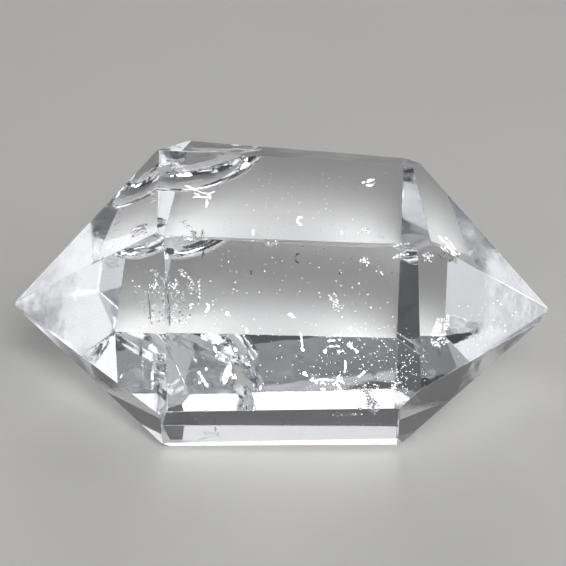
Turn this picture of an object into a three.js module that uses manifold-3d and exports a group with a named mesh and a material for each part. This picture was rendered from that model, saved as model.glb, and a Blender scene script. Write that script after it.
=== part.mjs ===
// Double terminated quartz crystal: one clear piece with a flattened body and a point at each end.
// Every face is ground flat and polished, and the crystal lies on the widest one.
// Millimetres, +Z up. The long axis is along X and the front faces -Y. The origin is on the surface
// that the crystal lies on, under the middle of its bounding box.
import * as THREE from 'three';
import { mergeVertices } from 'three/addons/utils/BufferGeometryUtils.js';
import Module from 'manifold-3d';

// Driving dimensions, in millimetres and degrees.
const ROUGH = { length: 60, depth: 40, height: 30 };   // the sawn block that the crystal is ground from
const WHEEL = 100;                                     // edge of the block that each facet takes away
const CHIP_FINENESS = 2;                               // how finely the balls of chips and cracks are divided
const REACH_FINENESS = 4;
const BOWL_FINENESS = 8;

// Each facet is a flat plane. "turn" is the way it faces round the long axis: 0 is up, 90 is the
// front, 180 is down and minus is the back. "slope" tips it towards the right point, or with a minus
// towards the left one. "reach" is how far it lies from the middle of the crystal.
const BODY_FACETS = {
  lyingFace: { turn: 180, slope: 0, reach: 10.65 },
  frontFoot: { turn: 126.5, slope: 0.5, reach: 15.7 },
  lowerFront: { turn: 114, slope: 0, reach: 15.35 },
  front: { turn: 59.5, slope: -1.5, reach: 11.25 },
  top: { turn: 4.5, slope: 1.5, reach: 9.9 },
  backTop: { turn: -22, slope: 3, reach: 11.55 },
  upperBack: { turn: -58, slope: 8.5, reach: 13.05 },
  lowerBack: { turn: -122, slope: 2, reach: 11.5 },
};
const LEFT_POINT_FACETS = {
  leftTop: { turn: 6, slope: -39, reach: 14.85 },
  leftFront: { turn: 60, slope: -34, reach: 14.75 },
  leftLowerFront: { turn: 113.5, slope: -42, reach: 18.55 },
  leftUnder: { turn: 162.5, slope: -38, reach: 17 },
  leftUpperBack: { turn: -49, slope: -46, reach: 16.3 },
  leftLowerBack: { turn: -112.5, slope: -41.5, reach: 15.75 },
  leftTip: { turn: 60, slope: -86, reach: 24.9 },
};
const RIGHT_POINT_FACETS = {
  rightTop: { turn: 0.5, slope: 38.5, reach: 15.6 },
  rightFront: { turn: 58.5, slope: 31.5, reach: 16.4 },
  rightLowerFront: { turn: 113, slope: 36.5, reach: 18.85 },
  rightUnder: { turn: 166.5, slope: 39.5, reach: 17.05 },
  rightUpperBack: { turn: -59, slope: 49.5, reach: 16.55 },
  rightLowerBack: { turn: -124.5, slope: 47.5, reach: 16.2 },
  rightTip: { turn: 60, slope: 82, reach: 25.3 },
};
const FACETS = { ...BODY_FACETS, ...LEFT_POINT_FACETS, ...RIGHT_POINT_FACETS };

// Shell-shaped chips knocked out of the edges. Each sits where its two facets meet, "along" the long
// axis from the middle, and is "wide" along the edge and "deep" into it.
const EDGE_CHIPS = [
  { facets: ['top', 'front'], along: -8.3, wide: 0.45, deep: 0.12 },
  { facets: ['top', 'front'], along: -1.1, wide: 0.6, deep: 0.18 },
  { facets: ['top', 'front'], along: -0.5, wide: 0.7, deep: 0.24 },
  { facets: ['top', 'backTop'], along: -5.6, wide: 1.1, deep: 0.22 },
  { facets: ['front', 'lowerFront'], along: -6.5, wide: 0.4, deep: 0.1 },
  { facets: ['front', 'lowerFront'], along: 7.3, wide: 0.5, deep: 0.12 },
  { facets: ['leftTop', 'leftFront'], along: -16.6, wide: 0.35, deep: 0.1 },
  { facets: ['leftTop', 'leftFront'], along: -16, wide: 0.45, deep: 0.12 },
  { facets: ['rightTop', 'rightFront'], along: 18, wide: 0.4, deep: 0.1 },
];

// One pit in the face of a facet, near the corner of the body: "over" is its place across the facet.
const PIT = { facet: 'rightFront', along: 13.4, over: -8, wide: 0.9, deep: 0.2 };

// A shell-shaped crack that starts at the top edge of the back. It is a thin gap along part of a ball of
// radius "bend", as far as it reaches from its middle and from its mouth in the edge. "facing" is the
// way that its bulging side faces. Places are along the long axis, across it to the back, and up.
const CRACK = {
  middle: [-6.95, 7.4, 1.25],
  mouth: [-5.75, 9.3, 8.15],
  facing: { turn: 104, slope: 19 },
  bend: 10,
  gap: 0.1,
  middleReach: 6.4,
  mouthReach: 1.8,
};

const UP = new THREE.Vector3(0, 0, 1);
const wasm = await Module();
wasm.setup();

const toSolid = (geometry) => {
  geometry.deleteAttribute('normal');
  geometry.deleteAttribute('uv');
  const merged = mergeVertices(geometry, 1e-4);
  const mesh = new wasm.Mesh({
    numProp: 3,
    vertProperties: new Float32Array(merged.attributes.position.array),
    triVerts: new Uint32Array(merged.index.array),
  });
  return new wasm.Manifold(mesh);
};

// The direction that a facet faces.
const facing = ({ turn, slope }) => {
  const round = THREE.MathUtils.degToRad(turn);
  const tip = THREE.MathUtils.degToRad(slope);
  const across = Math.cos(tip);
  return new THREE.Vector3(Math.sin(tip), -Math.sin(round) * across, Math.cos(round) * across);
};

// The stone beyond a facet's plane, which grinding takes away.
const groundOff = (facet) => {
  const waste = new THREE.BoxGeometry(WHEEL, WHEEL, WHEEL);
  waste.translate(0, 0, facet.reach + WHEEL / 2);
  waste.applyQuaternion(new THREE.Quaternion().setFromUnitVectors(UP, facing(facet)));
  return toSolid(waste);
};

// The point where two facets meet at a place along the long axis.
const edgePoint = (first, second, along) => {
  const a = facing(first);
  const b = facing(second);
  const restA = first.reach - a.x * along;
  const restB = second.reach - b.x * along;
  const scale = a.y * b.z - a.z * b.y;
  const y = (restA * b.z - restB * a.z) / scale;
  const z = (restB * a.y - restA * b.y) / scale;
  return new THREE.Vector3(along, y, z);
};

// The point of a facet at a place along the long axis and across it.
const facePoint = (facet, along, over) => {
  const normal = facing(facet);
  const z = (facet.reach - normal.x * along - normal.y * over) / normal.z;
  return new THREE.Vector3(along, over, z);
};

const ball = (centre, radius, fineness) => {
  const geometry = new THREE.IcosahedronGeometry(radius, fineness);
  return toSolid(geometry.translate(centre.x, centre.y, centre.z));
};

// A chip leaves part of a ball's surface: the ball whose cap has the chip's width and depth.
const chippedOff = (point, outward, wide, deep) => {
  const radius = (wide * wide / 4 + deep * deep) / (2 * deep);
  return ball(point.clone().addScaledVector(outward, radius - deep), radius, CHIP_FINENESS);
};

// The gap of the crack: a thin shell between two balls, kept near its middle and its mouth.
const crackedOpen = ({ middle, mouth, facing: way, bend, gap, middleReach, mouthReach }) => {
  const bowl = new THREE.Vector3(...middle).addScaledVector(facing(way), -bend);
  const shell = ball(bowl, bend + gap / 2, BOWL_FINENESS).subtract(ball(bowl, bend - gap / 2, BOWL_FINENESS));
  const near = ball(new THREE.Vector3(...middle), middleReach, REACH_FINENESS);
  return shell.intersect(near.add(ball(new THREE.Vector3(...mouth), mouthReach, CHIP_FINENESS)));
};

const grind = () => {
  let stone = toSolid(new THREE.BoxGeometry(ROUGH.length, ROUGH.depth, ROUGH.height));
  for (const facet of Object.values(FACETS)) {
    stone = stone.subtract(groundOff(facet));
  }
  for (const { facets, along, wide, deep } of EDGE_CHIPS) {
    const [first, second] = facets.map((name) => FACETS[name]);
    const outward = facing(first).add(facing(second)).normalize();
    stone = stone.subtract(chippedOff(edgePoint(first, second, along), outward, wide, deep));
  }
  const pitted = FACETS[PIT.facet];
  const pitPoint = facePoint(pitted, PIT.along, PIT.over);
  stone = stone.subtract(chippedOff(pitPoint, facing(pitted), PIT.wide, PIT.deep));
  return stone.subtract(crackedOpen(CRACK));
};

// Puts the bounding box's middle over the origin and the lying face on the surface.
const crystalGeometry = () => {
  const mesh = grind().getMesh();
  const geometry = new THREE.BufferGeometry();
  geometry.setAttribute('position', new THREE.BufferAttribute(new Float32Array(mesh.vertProperties), 3));
  geometry.setIndex(new THREE.BufferAttribute(new Uint32Array(mesh.triVerts), 1));
  geometry.computeBoundingBox();
  const middle = geometry.boundingBox.getCenter(new THREE.Vector3());
  return geometry.translate(-middle.x, -middle.y, BODY_FACETS.lyingFace.reach);
};

const quartz = new THREE.MeshStandardMaterial({
  name: 'quartz',
  color: 0xedf2f7,
  roughness: 0.03,
  metalness: 0,
  transparent: true,
  opacity: 0.35,
  flatShading: true,
});

const crystal = new THREE.Mesh(crystalGeometry(), quartz);
crystal.name = 'crystal';

const doubleTerminatedQuartz = new THREE.Group();
doubleTerminatedQuartz.add(crystal);
export default doubleTerminatedQuartz;
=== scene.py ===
"""Dresses the double terminated quartz crystal: the ground and polished stone, what has grown and cracked
inside it, and the floor, light and camera. It is laid out as a Blender add-on and run as a script."""

import math

import bmesh
import bpy
import numpy as np
from bpy.props import FloatProperty, FloatVectorProperty, IntProperty, PointerProperty
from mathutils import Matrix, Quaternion, Vector, noise


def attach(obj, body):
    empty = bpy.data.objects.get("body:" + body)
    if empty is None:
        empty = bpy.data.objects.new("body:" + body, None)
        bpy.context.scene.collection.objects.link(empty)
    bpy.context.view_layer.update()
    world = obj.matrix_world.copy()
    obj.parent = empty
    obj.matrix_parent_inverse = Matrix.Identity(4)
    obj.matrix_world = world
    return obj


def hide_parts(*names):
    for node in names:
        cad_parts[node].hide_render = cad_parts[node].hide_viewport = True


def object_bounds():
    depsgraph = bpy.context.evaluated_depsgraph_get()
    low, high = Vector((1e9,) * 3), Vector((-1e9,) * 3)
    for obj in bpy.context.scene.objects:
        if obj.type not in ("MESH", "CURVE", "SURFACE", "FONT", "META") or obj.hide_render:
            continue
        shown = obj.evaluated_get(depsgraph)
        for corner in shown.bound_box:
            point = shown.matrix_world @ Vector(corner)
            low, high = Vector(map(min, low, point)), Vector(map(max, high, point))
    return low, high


bl_info = {
    "name": "Double Terminated Quartz Crystal",
    "version": (1, 0, 0),
    "blender": (4, 5, 0),
    "location": "View3D > Sidebar > Quartz",
    "description": "Grinds the clear stone, grows its fractures, flecks and veils, and sets the stage",
    "category": "Object",
}

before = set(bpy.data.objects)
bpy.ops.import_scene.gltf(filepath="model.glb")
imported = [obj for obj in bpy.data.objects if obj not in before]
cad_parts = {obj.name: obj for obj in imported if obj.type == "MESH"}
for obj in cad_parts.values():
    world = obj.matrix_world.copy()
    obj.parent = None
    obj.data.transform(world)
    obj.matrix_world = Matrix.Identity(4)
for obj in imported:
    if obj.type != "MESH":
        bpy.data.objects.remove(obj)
CAD_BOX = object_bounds()

MM = 0.001
QUARTZ_IOR = 1.544

# The main view: where the eye is, how far it looks down, and its focal length in picture pixels.
EYE = Vector((0.36, -147.54, 114.27)) * MM
LOOK_DOWN = math.radians(35.2)
PICTURE = 566
FOCAL_PIXELS = 1900

# Softboxes: azimuth clockwise from straight behind the crystal, elevation, half width and half
# height in degrees, and brightness.
SOFTBOXES = {
    "back_softbox": (1, 25.5, 11, 14.3, 1.35),
    "right_softbox": (88, 33.5, 14, 17, 0.85),
    "front_right_softbox": (134, 22, 17, 22, 0.85),
    "overhead_softbox": (197, 55, 14, 18, 0.64),
    "front_softbox": (187, 21, 14, 11, 0.45),
    "key_softbox": (166, 50, 11, 11, 4.6),
    "left_softbox": (266, 15, 19, 17, 0.85),
}
BRIGHTEST = "key_softbox"                   # the one that silvery breaks and flecks are turned to mirror
BEHIND = "back_softbox"                     # the one that trails of cracks are turned to mirror


# ---------------------------------------------------------------------------------------------- helpers

def new_object(name, data):
    thing = bpy.data.objects.new(name, data)
    bpy.context.scene.collection.objects.link(thing)
    return thing


def mesh_of(name, solid):
    """The mesh of what was built, which is then let go."""
    mesh = bpy.data.meshes.new(name)
    solid.to_mesh(mesh)
    solid.free()
    return mesh


def way_of(azimuth, elevation):
    """The direction of an azimuth, clockwise from straight behind, and an elevation, in degrees."""
    turn, rise = math.radians(azimuth), math.radians(elevation)
    return Vector((math.sin(turn) * math.cos(rise), math.cos(turn) * math.cos(rise), math.sin(rise)))


def new_material(name):
    material = bpy.data.materials.new(name)
    material.use_nodes = True
    tree = material.node_tree
    tree.nodes.clear()
    output = tree.nodes.new("ShaderNodeOutputMaterial")
    surface = tree.nodes.new("ShaderNodeBsdfPrincipled")
    tree.links.new(surface.outputs["BSDF"], output.inputs["Surface"])
    return material, tree, surface, output


def object_coordinates(tree):
    return tree.nodes.new("ShaderNodeTexCoord").outputs["Object"]


def noise_at(tree, vector, size, detail=2.0, roughness=0.5):
    """A noise whose grain is about size metres."""
    texture = tree.nodes.new("ShaderNodeTexNoise")
    texture.inputs["Scale"].default_value = 1 / size
    texture.inputs["Detail"].default_value = detail
    texture.inputs["Roughness"].default_value = roughness
    tree.links.new(vector, texture.inputs["Vector"])
    return texture.outputs["Fac"]


def spread(tree, value, low, high, to_low, to_high):
    """Maps low..high of a value to to_low..to_high, smoothly."""
    node = tree.nodes.new("ShaderNodeMapRange")
    node.interpolation_type = "SMOOTHSTEP"
    for name, number in (("From Min", low), ("From Max", high), ("To Min", to_low), ("To Max", to_high)):
        node.inputs[name].default_value = number
    tree.links.new(value, node.inputs["Value"])
    return node.outputs["Result"]


def calculate(tree, operation, *values):
    """The result of a Math node. Each value is a socket or a number."""
    node = tree.nodes.new("ShaderNodeMath")
    node.operation = operation
    for value, place in zip(values, node.inputs):
        if isinstance(value, bpy.types.NodeSocket):
            tree.links.new(value, place)
        else:
            place.default_value = value
    return node.outputs["Value"]


def blend(tree, factor, first, second):
    """A colour between two, each given as red, green and blue."""
    node = tree.nodes.new("ShaderNodeMix")
    node.data_type = "RGBA"
    node.inputs["A"].default_value = (*first, 1)
    node.inputs["B"].default_value = (*second, 1)
    tree.links.new(factor, node.inputs["Factor"])
    return node.outputs["Result"]


def bump(tree, height, distance, below=None):
    """A normal that follows a height, laid over another normal where one is given."""
    node = tree.nodes.new("ShaderNodeBump")
    node.inputs["Distance"].default_value = distance
    tree.links.new(height, node.inputs["Height"])
    if below is not None:
        tree.links.new(below, node.inputs["Normal"])
    return node.outputs["Normal"]


# ------------------------------------------------------------------------------- looking into the stone

SAME_WAY = math.cos(math.radians(2))        # two faces this close in direction are one facet
FLATNESS = 0.003 * MM                       # how far off a facet's plane its points may lie
SMALLEST_FACET = 0.01 * MM * MM
NEAREST = 0.15                              # millimetres of clear quartz left round everything inside
JUST_INSIDE = 0.01                          # how far under the skin, in millimetres, a line starts inside
EDGE_ON = 1e-6                              # a line that faces a facet less than this doesn't cross it
GRAZING = 0.1                               # light that faces a facet less than this doesn't come in by it


def ground_facets(node):
    """The flat planes that the whole stone lies behind, largest first, as (direction, reach)."""
    mesh = node.data
    corners = np.array([v.co for v in mesh.vertices])
    found = []
    for face in sorted(mesh.polygons, key=lambda f: -f.area):
        direction = face.normal.copy()
        reach = direction.dot(face.center)
        whole = (corners @ np.array(direction)).max() < reach + FLATNESS
        known = any(direction.dot(d) > SAME_WAY for d, _ in found)
        if whole and not known and face.area > SMALLEST_FACET:
            found.append((direction, reach))
    return found


GROUND = ground_facets(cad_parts["crystal"])
FACETS = [(direction, reach / MM) for direction, reach in GROUND]     # in millimetres


def way_out(point, way):
    """How far it is from a point inside the stone to its skin, and the facet that it leaves by."""
    return min(
        ((reach - direction.dot(point)) / direction.dot(way), index)
        for index, (direction, reach) in enumerate(FACETS) if direction.dot(way) > EDGE_ON
    )


def look_into(pixel):
    """Where the main view's line through a pixel enters the stone, and its way inside, bent by it."""
    right, up = pixel[0] - PICTURE / 2, PICTURE / 2 - pixel[1]
    drop, level = math.sin(LOOK_DOWN), math.cos(LOOK_DOWN)
    line = Vector((right, FOCAL_PIXELS * level + up * drop, up * level - FOCAL_PIXELS * drop)).normalized()
    eye = EYE / MM
    far, index = max(
        ((reach - direction.dot(eye)) / direction.dot(line), index)
        for index, (direction, reach) in enumerate(FACETS) if direction.dot(line) < -EDGE_ON
    )
    direction = FACETS[index][0]
    across = (line - direction * line.dot(direction)) / QUARTZ_IOR
    return eye + line * far, across - direction * math.sqrt(1 - across.length_squared)


def seen_at(pixel, depth):
    """The point inside the stone, this deep, that the main view shows at a pixel."""
    entry, way = look_into(pixel)
    room = way_out(entry + way * JUST_INSIDE, way)[0]
    return entry + way * min(max(depth, NEAREST), room - NEAREST)


def light_at(point, softbox):
    """The way from a point inside to a softbox, bent at the facet that its light comes in by."""
    outside = way_of(*SOFTBOXES[softbox][:2])
    ways = []
    for index, (direction, _) in enumerate(FACETS):
        facing = outside.dot(direction)
        if facing > GRAZING:
            across = (outside - direction * facing) / QUARTZ_IOR
            inside = across + direction * math.sqrt(1 - across.length_squared)
            if way_out(point, inside)[1] == index:
                ways.append((facing, inside))
    return max(ways, key=lambda way: way[0])[1] if ways else Vector((0, 0, 1))


class Seam:
    """A plane inside the stone. Cracks and flecks lie in it, and it mirrors a softbox to the main view."""

    def __init__(self, middle, depth, softbox):
        self.point = seen_at(middle, depth)
        self.facing = (light_at(self.point, softbox) - look_into(middle)[1]).normalized()

    def at(self, pixel):
        """The point of the plane that the main view shows at a pixel, kept inside the stone."""
        entry, way = look_into(pixel)
        depth = (self.point - entry).dot(self.facing) / way.dot(self.facing)
        return seen_at(pixel, depth)


def smooth_line(pixels, steps):
    """Points along a smooth curve through the pixels."""
    ends = [pixels[0], *pixels, pixels[-1]]
    curve = []
    for a, b, c, d in zip(ends, ends[1:], ends[2:], ends[3:]):
        for step in range(steps):
            t = step / steps
            curve.append(tuple(
                b[i] + 0.5 * t * (c[i] - a[i] + t * (2 * a[i] - 5 * b[i] + 4 * c[i] - d[i]
                                                      + t * (3 * (b[i] - c[i]) + d[i] - a[i])))
                for i in (0, 1)
            ))
    return curve + [pixels[-1]]


# ------------------------------------------------------------------------------------------ the stone

BLOCK = 4 * max(CAD_BOX[1]) / MM            # edge of the block that the stone is cut from, in millimetres
BEVEL_STEPS = (0.25, 0.5, 0.75)             # where an edge is flattened, from one facet to the other
SHARPEST = 0.2                              # keeps the rounding of a sharp edge from going too deep
TOO_CLOSE = 1e-5                            # in millimetres, for points of the stone
SAME_POINT = 0.001 * MM                     # for points of the frame's crystal
FEWEST_POINTS = 8                           # a chip of the frame has more points than this
FEWEST_FACES = 100                          # a stone with its chips has at least as many
CLEAR_PART = (14.5 * MM, 19 * MM)           # from the middle: where the points' frosting starts and is full

# How the skin of a chip is rippled: the height of its swells and ribs, as parts of the radius, and how
# closely they follow each other.
SWELL_HEIGHT, SWELL_PACE = 0.05, 3
RIB_HEIGHT, RIB_PACE = 0.02, (28, 9)

# The shell-shaped crack behind the top edge, in millimetres. The ball that it follows comes from the
# frame, where it is the only one larger than a chip. The crack bulges the way it faces, and reaches this
# far from its middle and from its mouth in the edge.
LARGEST_CHIP = 3
SHELL_CRACK = {"facing": (0.32, -0.92, -0.23), "reach": 6.4, "mouth": (-5.8, 9.2, 18.8), "mouth_reach": 1.8}

# How a crack is uneven: the lobes that its rim wanders in, by their pace round it and their height beside
# the widest, how wide its mouth is in radians, and the ribs and waves of its sides, by their height as
# parts of its reach and their pace.
RIM_LOBES = ((2.2, 1), (7, 0.55), (17, 0.3))
MOUTH_WIDTH = 0.3
CRACK_RIB_HEIGHT, CRACK_RIB_PACE = 0.003, 38
CRACK_WAVE_HEIGHT, CRACK_WAVE_PACE = 0.008, 0.35

# Long narrow cracks inside the stone: the pixels of the main view that the two ends show at, how deep
# the crack lies, how far it is turned about its length from facing the eye, its width to its length, and
# the radius that it is bent to. Each is turned far enough to mirror, and so that it catches a softbox.
SPLINTERS = {
    "left_blade": {"ends": ((168.5, 290), (171.5, 326)), "depth": 9, "turn": -61, "narrow": 0.3, "bend": 14},
    "left_shard": {"ends": ((133, 251), (148, 240)), "depth": 6, "turn": -69, "narrow": 0.6, "bend": 8},
    "low_left_shard": {"ends": ((137, 257), (149, 246)), "depth": 6, "turn": -70, "narrow": 0.5, "bend": 8},
    "tooth_side": {"ends": ((199, 280), (198.5, 303)), "depth": 12, "turn": 52, "narrow": 0.2, "bend": 12},
    "feather_spine": {"ends": ((443, 243), (457, 263)), "depth": 1.7, "turn": -46, "narrow": 0.22, "bend": 8},
}

# Trails of small ragged cracks: the line of pixels of the main view that each follows, how deep it lies,
# how many cracks it has, the reach of the largest in millimetres, how far they stray in pixels, and how
# far they tilt in degrees.
TRAILS = {
    "tooth_root": {"seen_at": ((178, 270), (184, 272), (189, 277), (193, 283)), "depth": 12,
                   "cracks": 16, "reach": 0.24, "stray": 1.6, "tilt": 14},
    "tooth_slant": {"seen_at": ((187, 282), (192, 287), (197, 292)), "depth": 12,
                    "cracks": 9, "reach": 0.2, "stray": 1.0, "tilt": 12},
    "tooth_body": {"seen_at": ((189, 287), (193, 292), (196, 297)), "depth": 12,
                   "cracks": 12, "reach": 0.26, "stray": 2.2, "tilt": 30},
    "tooth_foot": {"seen_at": ((187, 308), (191, 306), (195, 304)), "depth": 12,
                   "cracks": 7, "reach": 0.2, "stray": 1.0, "tilt": 14},
    "blade_chips": {"seen_at": ((156, 285), (161, 283), (166, 285)), "depth": 9,
                    "cracks": 9, "reach": 0.18, "stray": 1.8, "tilt": 14},
    "left_mist": {"seen_at": ((132, 281), (139, 290), (144, 305), (146, 314)), "depth": 7,
                  "cracks": 9, "reach": 0.12, "stray": 3.5, "tilt": 12},
    "left_edge_bruise": {"seen_at": ((182, 236.5), (188, 238), (194, 239)), "depth": 0.4,
                         "cracks": 18, "reach": 0.22, "stray": 1.6, "tilt": 30},
    "middle_edge_bruise": {"seen_at": ((264, 240), (270, 241), (276, 242)), "depth": 0.4,
                           "cracks": 16, "reach": 0.2, "stray": 1.3, "tilt": 30},
    "feather_cloud": {"seen_at": ((444, 246), (450, 254), (456, 262)), "depth": 1.6,
                      "cracks": 14, "reach": 0.22, "stray": 3, "tilt": 20},
    "plume": {"seen_at": ((363, 388), (369, 396), (373, 404), (374, 411)), "depth": 1.2,
              "cracks": 60, "reach": 0.32, "stray": 5, "tilt": 50},
    "upper_left_cloud": {"seen_at": ((124, 197), (121, 208), (118, 220), (117, 228)), "depth": 3,
                         "cracks": 16, "reach": 0.22, "stray": 3, "tilt": 30},
}

# Round gas bubbles: the pixels of the main view that they show at, how deep they lie and the radius of
# the largest in millimetres.
BUBBLES = {
    "left_ring": {"depth": 9, "radius": 0.14, "seen_at": (
        (172, 311), (174, 317), (179, 321), (186, 320), (190, 315), (189, 308), (184, 301), (177, 297),
        (180, 312), (173, 304), (168, 318), (183, 315),
    )},
    "upper_left": {"depth": 2, "radius": 0.3, "seen_at": ((97, 233),)},
}

# The least and the most that chance gives. A crack of a trail: its reach beside the largest, its bend
# beside its reach, and its width to its length. A bubble: its radius beside the largest. A nick: its
# place along the edge, the root of its radius beside the largest, and how far its middle stands off the
# edge, in radii.
TRAIL_REACH, TRAIL_BEND, TRAIL_NARROW = (0.35, 1), (2, 5), (0.3, 0.9)
BUBBLE_RADIUS = (0.25, 1)
NICK_PLACE, NICK_RADIUS, NICK_LIFT = (0.03, 0.97), (0.35, 1), (0.55, 0.8)

# How finely balls are divided.
CHIP_FINENESS = 4
NICK_FINENESS = 2
BUBBLE_FINENESS = 2


def cut_away(solid, direction, reach):
    """Takes away what lies beyond a plane and closes the cut with one face."""
    everything = solid.verts[:] + solid.edges[:] + solid.faces[:]
    bmesh.ops.bisect_plane(
        solid, geom=everything, dist=TOO_CLOSE, plane_co=direction * reach, plane_no=direction,
        clear_outer=True,
    )
    rim = [e for e in solid.edges if e.is_boundary]
    if rim:
        bmesh.ops.holes_fill(solid, edges=rim, sides=0)


def faceted_solid(planes):
    """The block cut by every plane."""
    solid = bmesh.new()
    bmesh.ops.create_cube(solid, size=BLOCK)
    for direction, reach in planes:
        cut_away(solid, direction, reach)
    return solid


def rounding_planes(solid, radius):
    """Planes that take the sharpness off every edge, as polishing does."""
    planes = []
    for edge in solid.edges:
        first, second = (f.normal for f in edge.link_faces)
        between = (first + second).normalized()
        lean = max(between.dot(first), SHARPEST)
        centre = (edge.verts[0].co + edge.verts[1].co) / 2 - between * (radius / lean)
        for step in BEVEL_STEPS:
            direction = first.slerp(second, step)
            planes.append((direction, direction.dot(centre) + radius))
    return planes


def chip_balls(node):
    """The chips of the frame's crystal: the ball that each patch of faces off the facets lies on.

    A chip's place in the list seeds its ripples, so the list has the same order each run.
    """
    patch = bmesh.new()
    patch.from_mesh(node.data)
    bmesh.ops.remove_doubles(patch, verts=patch.verts, dist=SAME_POINT)
    patch.faces.ensure_lookup_table()
    ground = [
        face for face in patch.faces
        if any(all(abs(d.dot(v.co) - r) < FLATNESS for v in face.verts) for d, r in GROUND)
    ]
    bmesh.ops.delete(patch, geom=ground, context="FACES")
    balls, left = [], set(patch.faces)
    for first in patch.faces:
        if first not in left:
            continue
        left.discard(first)
        island, queue = [], [first]
        while queue:
            face = queue.pop()
            island.append(face)
            for neighbour in (f for e in face.edges for f in e.link_faces if f in left):
                left.discard(neighbour)
                queue.append(neighbour)
        points = np.array([v.co for v in dict.fromkeys(v for f in island for v in f.verts)]) / MM
        if len(points) > FEWEST_POINTS:
            rows = np.column_stack([2 * points, np.ones(len(points))])
            fit = np.linalg.lstsq(rows, (points ** 2).sum(1), rcond=None)[0]
            balls.append((Vector(fit[:3]), math.sqrt(fit[3] + fit[:3] @ fit[:3])))
    patch.free()
    return balls


def ripple_ball(cutter, centre, radius, fineness, seed):
    """Adds a ball whose skin is rippled like a shell break."""
    made = bmesh.ops.create_icosphere(cutter, subdivisions=fineness, radius=1)
    for vertex in made["verts"]:
        way = vertex.co.normalized()
        swell = SWELL_HEIGHT * noise.noise(way * SWELL_PACE + Vector((seed, 0, 0)))
        rib = RIB_HEIGHT * math.sin(RIB_PACE[0] * way.x + RIB_PACE[1] * way.y)
        vertex.co = centre + way * radius * (1 + (swell + rib))


def join_rows(cutter, rows, flip):
    """Fills what lies between each row of a crack's side and the next. The first row is one point."""
    for inner, outer in zip(rows, rows[1:]):
        for spoke in range(len(outer)):
            after = (spoke + 1) % len(outer)
            if len(inner) == 1:
                corners = [inner[0], outer[spoke], outer[after]]
            else:
                corners = [inner[spoke], outer[spoke], outer[after], inner[after]]
            cutter.faces.new(corners[::-1] if flip else corners)


def open_crack(
    cutter, middle, facing, bend, reach, gap, narrow=1.0, along=None, ragged=0.1, variety=1, mouth=None,
    mouth_reach=0.0, rings=9, spokes=24,
):
    """Adds the gap of a shell-shaped crack: part of a ball that bulges the way it faces."""
    middle, facing = Vector(middle), Vector(facing).normalized()
    side = facing.cross(along).normalized() if along is not None else facing.orthogonal().normalized()
    up = facing.cross(side)
    to_mouth = Vector(mouth) - middle if mouth is not None else None
    front, back = [], []
    for ring in range(rings + 1):
        part = ring / rings
        row_front, row_back = [], []
        for spoke in range(spokes if ring else 1):
            turn = 2 * math.pi * spoke / spokes
            way = side * (math.cos(turn) * narrow) + up * math.sin(turn)
            uneven = sum(height * noise.noise(way * pace + middle * variety) for pace, height in RIM_LOBES)
            chord = reach * (1 + ragged * uneven)
            if to_mouth is not None:
                off_mouth = way.angle(to_mouth.normalized()) / MOUTH_WIDTH
                chord += (mouth_reach + to_mouth.length - reach) * math.exp(-off_mouth ** 2)
            chord *= part
            sag = chord * chord / (2 * bend)
            flat = middle + way * math.sqrt(max(chord * chord - sag * sag, 0))
            rib = CRACK_RIB_HEIGHT * reach * math.sin(chord / reach * CRACK_RIB_PACE) * part ** 4
            wave = CRACK_WAVE_HEIGHT * reach * noise.noise(flat * CRACK_WAVE_PACE)
            point = flat - facing * (sag + (rib + wave))
            half = gap / 2 * math.sqrt(1 - part * part)
            row_front.append(cutter.verts.new(point + facing * half))
            row_back.append(row_front[-1] if ring == rings else cutter.verts.new(point - facing * half))
        front.append(row_front)
        back.append(row_back)
    join_rows(cutter, front, False)
    join_rows(cutter, back, True)


def add_splinters(cutter, gap):
    for splinter in SPLINTERS.values():
        first, last = (seen_at(end, splinter["depth"]) for end in splinter["ends"])
        middle = (first + last) / 2
        facing = -look_into(splinter["ends"][0])[1]
        facing.rotate(Quaternion((last - first).normalized(), math.radians(splinter["turn"])))
        open_crack(
            cutter, middle, facing, bend=splinter["bend"], reach=(last - first).length / 2, gap=gap,
            narrow=splinter["narrow"], along=last - first, ragged=0.3, variety=5,
        )


def add_trails(cutter, gap, seed):
    chance = np.random.default_rng(seed)
    for trail in TRAILS.values():
        line = smooth_line(trail["seen_at"], 12)
        seam = Seam(line[len(line) // 2], trail["depth"], BEHIND)
        for _ in range(trail["cracks"]):
            place = line[chance.integers(len(line))]
            pixel = tuple(at + chance.normal(0, trail["stray"] / 2) for at in place)
            facing = seam.facing.copy()
            axis = facing.orthogonal().normalized()
            axis.rotate(Quaternion(facing, chance.uniform(0, 2 * math.pi)))
            facing.rotate(Quaternion(axis, math.radians(trail["tilt"] * chance.uniform(0, 1))))
            reach = trail["reach"] * chance.uniform(*TRAIL_REACH)
            open_crack(
                cutter, seam.at(pixel), facing, bend=reach * chance.uniform(*TRAIL_BEND), reach=reach,
                gap=gap / 2, narrow=chance.uniform(*TRAIL_NARROW), along=axis, ragged=0.6, variety=5,
                rings=3, spokes=10,
            )


def add_bubbles(cutter, seed):
    chance = np.random.default_rng(seed)
    for group in BUBBLES.values():
        for index, pixel in enumerate(group["seen_at"]):
            radius = group["radius"] * chance.uniform(*BUBBLE_RADIUS)
            ripple_ball(cutter, seen_at(pixel, group["depth"]), radius, BUBBLE_FINENESS, index)


def edge_nicks(solid, spacing, largest, seed):
    """Places and sizes of the tiny nicks along the long edges."""
    chance = np.random.default_rng(seed)
    nicks = []
    for edge in solid.edges:
        length = edge.calc_length()
        outward = (edge.link_faces[0].normal + edge.link_faces[1].normal).normalized()
        for _ in range(chance.poisson(length / spacing)):
            place = edge.verts[0].co.lerp(edge.verts[1].co, chance.uniform(*NICK_PLACE))
            radius = largest * chance.uniform(*NICK_RADIUS) ** 2
            nicks.append((place + outward * radius * chance.uniform(*NICK_LIFT), radius))
    return nicks


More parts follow.
